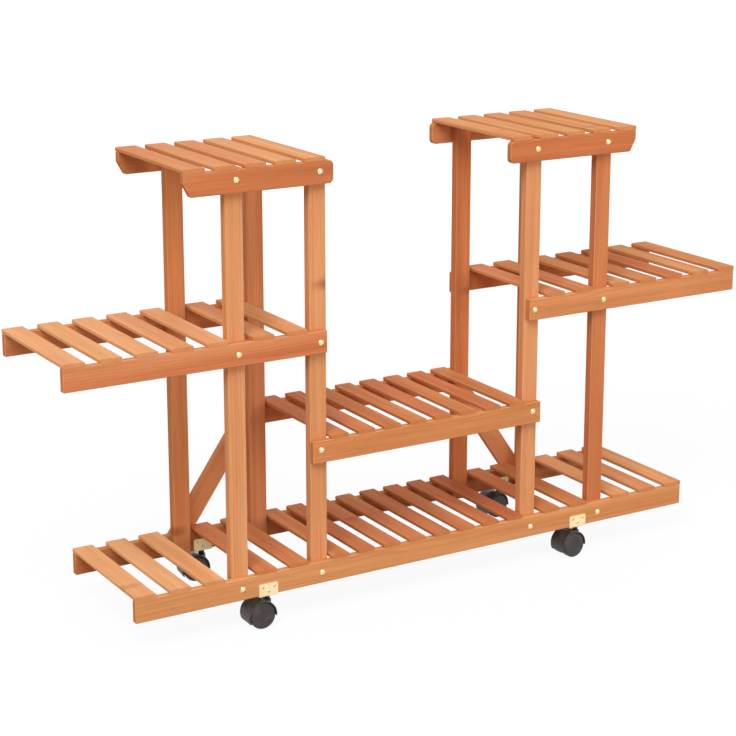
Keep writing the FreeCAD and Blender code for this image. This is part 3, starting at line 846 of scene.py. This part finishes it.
class Drive(Enum):
    """The shape of a ring round a fastener's axis: the shank and dome, or a tool's recess."""

    ROUND = "round"
    HEXAGON = "hexagon"
    CROSS = "cross"

    def reach(self, angle: float) -> float:
        """How far out the ring is at an angle, as a share of its widest.

        Args:
            angle: Angle round the axis in radians.

        Returns:
            A share from nought to one.
        """
        if self is Drive.HEXAGON:
            sixth = math.pi / 3
            return math.cos(sixth / 2) / math.cos(angle % sixth - sixth / 2)
        if self is Drive.CROSS:
            return CROSS_WAIST + (1.0 - CROSS_WAIST) * abs(math.cos(2 * angle)) ** CROSS_POWER
        return 1.0


@dataclass(frozen=True)
class Ring:
    """One loop of a fastener, in millimetres.

    Attributes:
        radius: Its widest radius.
        height: Its height over the seat of the head.
        drive: Its shape.
    """

    radius: float
    height: float
    drive: Drive = Drive.ROUND


@dataclass(frozen=True)
class Fastener:
    """A bolt or screw with a domed head and a recess for a tool, in millimetres.

    Attributes:
        head: Diameter of the head.
        rise: Height of the dome.
        shank: Diameter of the shank.
        drive: Shape of the recess.
        drive_radius: Widest radius of the recess.
        drive_depth: Depth of the recess.
    """

    head: float
    rise: float
    shank: float
    drive: Drive
    drive_radius: float
    drive_depth: float

    SIDES = 24
    DOME_STEPS = 5
    LIP = 0.2
    RECESS_TAPER = 0.9
    TIP_LENGTH = 0.6
    TIP_BEVEL = 0.4

    def rings(self, length: float) -> list[Ring]:
        """Lists the loops from the floor of the recess, over the dome, to the tip.

        Args:
            length: Length of the shank below the head.

        Returns:
            The loops in order.
        """
        edge = self.head / 2
        ball = (edge ** 2 + self.rise ** 2) / (2 * self.rise)
        inner = self.drive_radius + self.LIP
        top = self.rise - ball + math.sqrt(ball ** 2 - inner ** 2)
        loops = [
            Ring(self.drive_radius * self.RECESS_TAPER, top - self.drive_depth, self.drive),
            Ring(self.drive_radius, top - self.LIP, self.drive),
            Ring(inner, top, self.drive),
        ]
        for step in range(1, self.DOME_STEPS + 1):
            radius = inner + (edge - inner) * step / self.DOME_STEPS
            loops.append(Ring(radius, self.rise - ball + math.sqrt(ball ** 2 - radius ** 2)))
        shank = self.shank / 2
        tip = Ring(shank - self.TIP_BEVEL, -length)
        return loops + [Ring(shank, 0.0), Ring(shank, self.TIP_LENGTH - length), tip]

    def grow(self, form: Form, length: float, seat: Matrix) -> None:
        """Grows one fastener loop by loop and sets it on its seat.

        Args:
            form: The mesh that gets the fastener.
            length: Length of the shank in millimetres.
            seat: Where the seat of the head lies, and which way the head looks.
        """
        loops = self.rings(length)
        made = bmesh.ops.create_circle(form, cap_ends=True, segments=self.SIDES, radius=1.0)["verts"]
        every = list(made)
        loop_edges = [edge for edge in form.edges if edge.verts[0] in made and edge.verts[1] in made]
        self._shape(made, loops[0])
        for ring in loops[1:]:
            grown = bmesh.ops.extrude_edge_only(form, edges=loop_edges)["geom"]
            made = [item for item in grown if isinstance(item, bmesh.types.BMVert)]
            fresh = set(made)
            edges = [item for item in grown if isinstance(item, bmesh.types.BMEdge)]
            loop_edges = [edge for edge in edges if fresh.issuperset(edge.verts)]
            self._shape(made, ring)
            every += made
        bmesh.ops.contextual_create(form, geom=loop_edges)
        bmesh.ops.transform(form, matrix=seat, verts=every)

    def _shape(self, verts: list[bmesh.types.BMVert], ring: Ring) -> None:
        """Moves a loop's points out to its ring.

        Args:
            verts: The loop's points, each already at its angle.
            ring: Where the loop goes.
        """
        for vert in verts:
            angle = math.atan2(vert.co.y, vert.co.x)
            reach = ring.radius * ring.drive.reach(angle) * MM
            vert.co = (reach * math.cos(angle), reach * math.sin(angle), ring.height * MM)


def head_seat(place: tuple[float, float, float], way: float) -> Matrix:
    """Seats a fastener so that its head looks along Y.

    Args:
        place: Where the seat of the head lies.
        way: Which way along Y the head looks, as plus or minus one.

    Returns:
        The fastener's place and turn.
    """
    turn = Euler((math.radians(90.0 * -way), 0.0, 0.0)).to_matrix().to_4x4()
    return Matrix.Translation(place) @ turn


def finish_piece(
    form: Form, name: str, material: bpy.types.Material, body: str,
) -> bpy.types.Object:
    """Turns a bmesh into a piece that rides on a body.

    Args:
        form: The finished mesh, used up here.
        name: The piece's name.
        material: Its finish.
        body: The body that it moves with.

    Returns:
        The new object.
    """
    bmesh.ops.recalc_face_normals(form, faces=form.faces)
    for face in form.faces:
        face.smooth = True
    for edge in form.edges:
        edge.smooth = len(edge.link_faces) == 2 and edge.calc_face_angle() < SHARP_ANGLE
    mesh = bpy.data.meshes.new(name)
    form.to_mesh(mesh)
    form.free()
    mesh.materials.append(material)
    piece = bpy.data.objects.new(name, mesh)
    bpy.context.scene.collection.objects.link(piece)
    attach(piece, body)
    log.info("%s made with %d faces", name, len(mesh.polygons))
    return piece


@dataclass
class Bolts:
    """The bolts through the rails, and the insert nuts that hold them in the posts.

    Attributes:
        bolt: One bolt.
        rises_mm: Height of the bolts over each kind of rail's lower edge.
        crossings: The posts that each kind of rail crosses.
        braced: Crossings where a back brace lies under the head.
        bite_mm: How far a bolt goes into its post.
        plating: The bolts' finish.
        nut_plating: The nuts' finish.
    """

    bolt: Fastener = Fastener(10.5, 2.6, 6.0, Drive.HEXAGON, 1.85, 1.5)
    rises_mm: dict[str, float] = field(
        default_factory=lambda: {"bottom": 19.0, "middle": 22.5, "side": 19.0, "top": 21.5},
    )
    crossings: dict[str, tuple[str, ...]] = field(
        default_factory=lambda: {
            "bottom": ("outer", "inner"), "middle": ("inner",),
            "side": ("outer", "inner"), "top": ("outer", "inner"),
        },
    )
    braced: tuple[tuple[str, str], ...] = (("bottom", "outer"), ("middle", "inner"))
    bite_mm: float = 12.0
    plating: PlatedBrass = PlatedBrass("plated_bolt", "#E3C184", "#FBE7C2", 0.33, 0.5)
    nut_plating: PlatedBrass = PlatedBrass("plated_nut", "#C9A76A", "#EFD7A6", 0.36, 0.5)

    def build(self) -> None:
        """Makes the bolts of both sides and dresses the nuts."""
        material = self.plating.build()
        for row, way in (("front", -1.0), ("back", 1.0)):
            form = bmesh.new()
            for level, posts in self.crossings.items():
                for side in ("left", "right"):
                    for post in posts:
                        self._bolt(form, row, way, level, side, post)
            piece = finish_piece(form, f"socket_bolts_{row}", material, "stand")
            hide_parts(f"bolts_{row}")
        nuts = self.nut_plating.build()
        for row in ("front", "back"):
            dress(f"nuts_{row}", nuts)

    def _bolt(self, form: Form, row: str, way: float, level: str, side: str, post: str) -> None:
        """Adds the bolt of one crossing.

        Args:
            form: The mesh that gets it.
            row: Front or back.
            way: Which way along Y the head looks.
            level: The rail's level.
            side: Left or right.
            post: Outer or inner post.
        """
        one_rail = level in ("bottom", "middle")
        rail_low, rail_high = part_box(f"rail_{level}_{row}" if one_rail else f"rail_{level}_{side}_{row}")
        post_low, post_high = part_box(f"post_{side}_{post}_{row}")
        face = rail_low[1] if way < 0 else rail_high[1]
        seat = post_low[1] if way < 0 else post_high[1]
        if way > 0 and (level, post) in self.braced:
            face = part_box(f"brace_{side}")[1][1]
        across = (post_low[0] + post_high[0]) / 2
        up = rail_low[2] + self.rises_mm[level] * MM
        length = abs(face - seat) / MM + self.bite_mm
        self.bolt.grow(form, length, head_seat((across, face, up), way))


@dataclass
class Saddles:
    """The brackets that hold the casters, and their screws.

    Attributes:
        screw: One screw.
        spots_mm: Places of the screws, along the rail and up from its lower edge.
        bite_mm: Length of a screw behind its head.
        plate: The brackets' finish.
        plating: The screws' finish.
    """

    screw: Fastener = Fastener(5.0, 1.4, 2.8, Drive.CROSS, 1.35, 0.9)
    spots_mm: tuple[tuple[float, float], ...] = ((-11.0, 15.5), (11.0, 15.5), (0.0, 7.5))
    bite_mm: float = 4.8
    plate: PlatedBrass = PlatedBrass("plated_saddle", "#F6D9A0", "#FFE9BC", 0.42, 0.8, 0.25)
    plating: PlatedBrass = PlatedBrass("plated_screw", "#BF9C60", "#EBD3A0", 0.34, 0.4)

    def build(self) -> None:
        """Dresses the brackets and makes their screws."""
        plated = self.plate.build()
        form = bmesh.new()
        for row in ("front", "back"):
            for side in ("left", "right"):
                node = f"caster_{row}_{side}_saddle"
                dress(node, plated)
                self._screws(form, node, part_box(f"rail_bottom_{row}")[0][2])
        piece = finish_piece(form, "cross_screws", self.plating.build(), "stand")
        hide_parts("saddle_screws")

    def _screws(self, form: Form, saddle: str, foot: float) -> None:
        """Adds the screws of one bracket, on both its flanges.

        Args:
            form: The mesh that gets them.
            saddle: The bracket's node.
            foot: Height of the rail's lower edge.
        """
        low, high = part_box(saddle)
        middle = (low[0] + high[0]) / 2
        for face, way in ((low[1], -1.0), (high[1], 1.0)):
            for across, up in self.spots_mm:
                place = (middle + across * MM, face, foot + up * MM)
                self.screw.grow(form, self.bite_mm, head_seat(place, way))


@dataclass
class Casters:
    """The four hooded casters.

    Attributes:
        hood: The hoods' finish.
        wheel: The wheels' finish.
        kingpin: The kingpins' finish.
        axle: The axles' finish.
    """

    hood: MouldedPlastic = MouldedPlastic("moulded_nylon_hood", "#2A2220", "#4C403B", 0.44, 0.5)
    wheel: MouldedPlastic = MouldedPlastic("moulded_nylon_wheel", "#2C2422", "#4B403B", 0.52, 0.7)
    kingpin: TurnedSteel = TurnedSteel("blackened_steel", "#1E1B1A", "#3A3634", 0.4, 0.6)
    axle: TurnedSteel = TurnedSteel("bright_steel", "#8D8B86", "#B9B7B2", 0.3, 1.0)

    def dress_all(self) -> None:
        """Gives each caster piece its finish."""
        endings = {
            "_hood": self.hood.build(), "_wheel_near": self.wheel.build(),
            "_kingpin": self.kingpin.build(), "_axle": self.axle.build(),
        }
        endings["_wheel_far"] = endings["_wheel_near"]
        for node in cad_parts:
            for ending, material in endings.items():
                if node.startswith("caster_") and node.endswith(ending):
                    dress(node, material)


@dataclass(frozen=True)
class SoftLamp:
    """A square soft lamp that points at the middle of the stand.

    Attributes:
        name: The lamp's name.
        place: Where it hangs.
        side: The length of its side.
        power: Its power in watts.
    """

    name: str
    place: tuple[float, float, float]
    side: float
    power: float

    TARGET = (0.0, 0.0, 0.4)

    def hang(self) -> None:
        """Makes the lamp and turns it to the stand."""
        light = bpy.data.lights.new(self.name, "AREA")
        light.size = self.side
        light.energy = self.power
        lamp = bpy.data.objects.new(self.name, light)
        lamp.location = self.place
        aim = Vector(self.TARGET) - Vector(self.place)
        lamp.rotation_euler = aim.to_track_quat("-Z", "Y").to_euler()
        bpy.context.scene.collection.objects.link(lamp)


@dataclass
class Studio:
    """A pale floor, a white background and soft lamps.

    Attributes:
        floor_half: Half the floor's side.
        floor_drop: How far the floor lies under the wheels.
        floor_paint: The floor's colour as it lights the stand.
        floor_glow: How much of the floor that shows is plain white.
        sky_strength: How strongly the background lights the stand.
        bright_near: The white's strength near the stand.
        bright_far: The white's strength far from it.
        sweep: How far from the middle the white begins and ends its rise.
        lamps: The lamps.
    """

    floor_half: float = 30.0
    floor_drop: float = 0.0006
    floor_paint: str = "#A8A8A8"
    floor_glow: float = 0.8
    sky_strength: float = 0.54
    bright_near: float = 1.15
    bright_far: float = 1.24
    sweep: tuple[float, float] = (1.2, 5.0)
    lamps: tuple[SoftLamp, ...] = (
        SoftLamp("key_lamp", (-3.4, -3.6, 6.0), 4.0, 400.0),
        SoftLamp("front_lamp", (1.4, -4.2, 0.8), 2.0, 55.0),
        SoftLamp("back_lamp", (1.5, 3.6, 0.6), 2.0, 60.0),
    )

    def build(self) -> None:
        """Builds the floor, the background and the lamps."""
        self._floor()
        self._background()
        for lamp in self.lamps:
            lamp.hang()

    def _floor(self) -> None:
        """Lays a plain pale floor just under the wheels, which keeps a faint shadow."""
        half = self.floor_half
        mesh = bpy.data.meshes.new("studio_floor")
        plan = [(-half, -half), (half, -half), (half, half), (-half, half)]
        mesh.from_pydata([(x, y, -self.floor_drop) for x, y in plan], [], [(0, 1, 2, 3)])
        floor = bpy.data.objects.new("studio_floor", mesh)
        bpy.context.scene.collection.objects.link(floor)
        material, tree = new_material("pale_floor_paint")
        seen = self._seen_share(tree, self.floor_glow)
        paint = add_node(tree, "ShaderNodeBsdfDiffuse", {"Color": linear(self.floor_paint)})
        place = add_node(tree, "ShaderNodeTexCoord").outputs["Object"]
        away = add_node(tree, "ShaderNodeVectorMath", {0: place}, operation="LENGTH").outputs["Value"]
        sweep = add_node(
            tree, "ShaderNodeMapRange",
            {
                "Value": away, "From Min": self.sweep[0], "From Max": self.sweep[1],
                "To Min": self.bright_near, "To Max": self.bright_far,
            },
        ).outputs["Result"]
        white = add_node(tree, "ShaderNodeEmission", {"Color": linear(WHITE), "Strength": sweep})
        mixed = add_node(
            tree, "ShaderNodeMixShader", {0: seen, 1: paint.outputs["BSDF"], 2: white.outputs["Emission"]},
        )
        add_node(tree, "ShaderNodeOutputMaterial", {"Surface": mixed.outputs["Shader"]})
        mesh.materials.append(material)

    def _seen_share(self, tree: Tree, share: float) -> Socket:
        """Tells rays that show the background from rays that carry light.

        Args:
            tree: The nodes of the floor or of the world.
            share: The value for rays that show the background.

        Returns:
            The share for camera, mirror and glass rays, and nought for the rest.
        """
        path = add_node(tree, "ShaderNodeLightPath")
        seen = path.outputs["Is Camera Ray"]
        for ray in ("Is Glossy Ray", "Is Transmission Ray"):
            either = add_node(tree, "ShaderNodeMath", {0: seen, 1: path.outputs[ray]}, operation="MAXIMUM")
            seen = either.outputs["Value"]
        return add_node(tree, "ShaderNodeMath", {0: seen, 1: share}, operation="MULTIPLY").outputs["Value"]

    def _background(self) -> None:
        """Makes the world white to the eye and softer as a light."""
        world = bpy.data.worlds.new("studio_world")
        bpy.context.scene.world = world
        world.use_nodes = True
        tree = world.node_tree
        tree.nodes.clear()
        seen = self._seen_share(tree, 1.0)
        light = add_node(
            tree, "ShaderNodeMapRange", {"Value": seen, "To Min": self.sky_strength, "To Max": 1.0},
        )
        sky = add_node(
            tree, "ShaderNodeBackground", {"Color": linear(WHITE), "Strength": light.outputs["Result"]},
        )
        add_node(tree, "ShaderNodeOutputWorld", {"Surface": sky.outputs["Background"]})


@dataclass
class PhotoCamera:
    """The camera, placed where the edges of rails and posts in the photograph put it.

    Attributes:
        place: Where it stands.
        yaw_deg: How far it is turned from +Y towards +X.
        dip_deg: How far it looks down.
        focal_px: Its focal length, in pixels of the photograph.
        rise_px: How far its picture is shifted up, in pixels.
    """

    place: tuple[float, float, float] = (-1.7742, -2.8706, 1.3223)
    yaw_deg: float = 31.01
    dip_deg: float = 14.08
    focal_px: float = 1953.7
    rise_px: float = -55.2

    def build(self) -> None:
        """Makes the camera and gives it to the scene."""
        data = bpy.data.cameras.new("photo_camera")
        data.sensor_width = SENSOR_MM
        data.lens = self.focal_px * SENSOR_MM / IMAGE_PIXELS
        data.shift_y = self.rise_px / IMAGE_PIXELS
        data.clip_end = CLIP_END
        camera = bpy.data.objects.new("photo_camera", data)
        camera.location = self.place
        yaw, dip = math.radians(self.yaw_deg), math.radians(self.dip_deg)
        look = Vector((math.cos(dip) * math.sin(yaw), math.cos(dip) * math.cos(yaw), -math.sin(dip)))
        camera.rotation_euler = look.to_track_quat("-Z", "Y").to_euler()
        bpy.context.scene.collection.objects.link(camera)
        bpy.context.scene.camera = camera


def main() -> None:
    """Builds the studio and dresses the stand."""
    logging.basicConfig(level=logging.INFO, format="%(name)s: %(message)s")
    bpy.context.scene.view_settings.view_transform = "Standard"
    Studio().build()
    PhotoCamera().build()
    Timber().dress_all()
    Shelves().dress_all()
    Bolts().build()
    Saddles().build()
    Casters().dress_all()


if __name__ == "__main__":
    main()
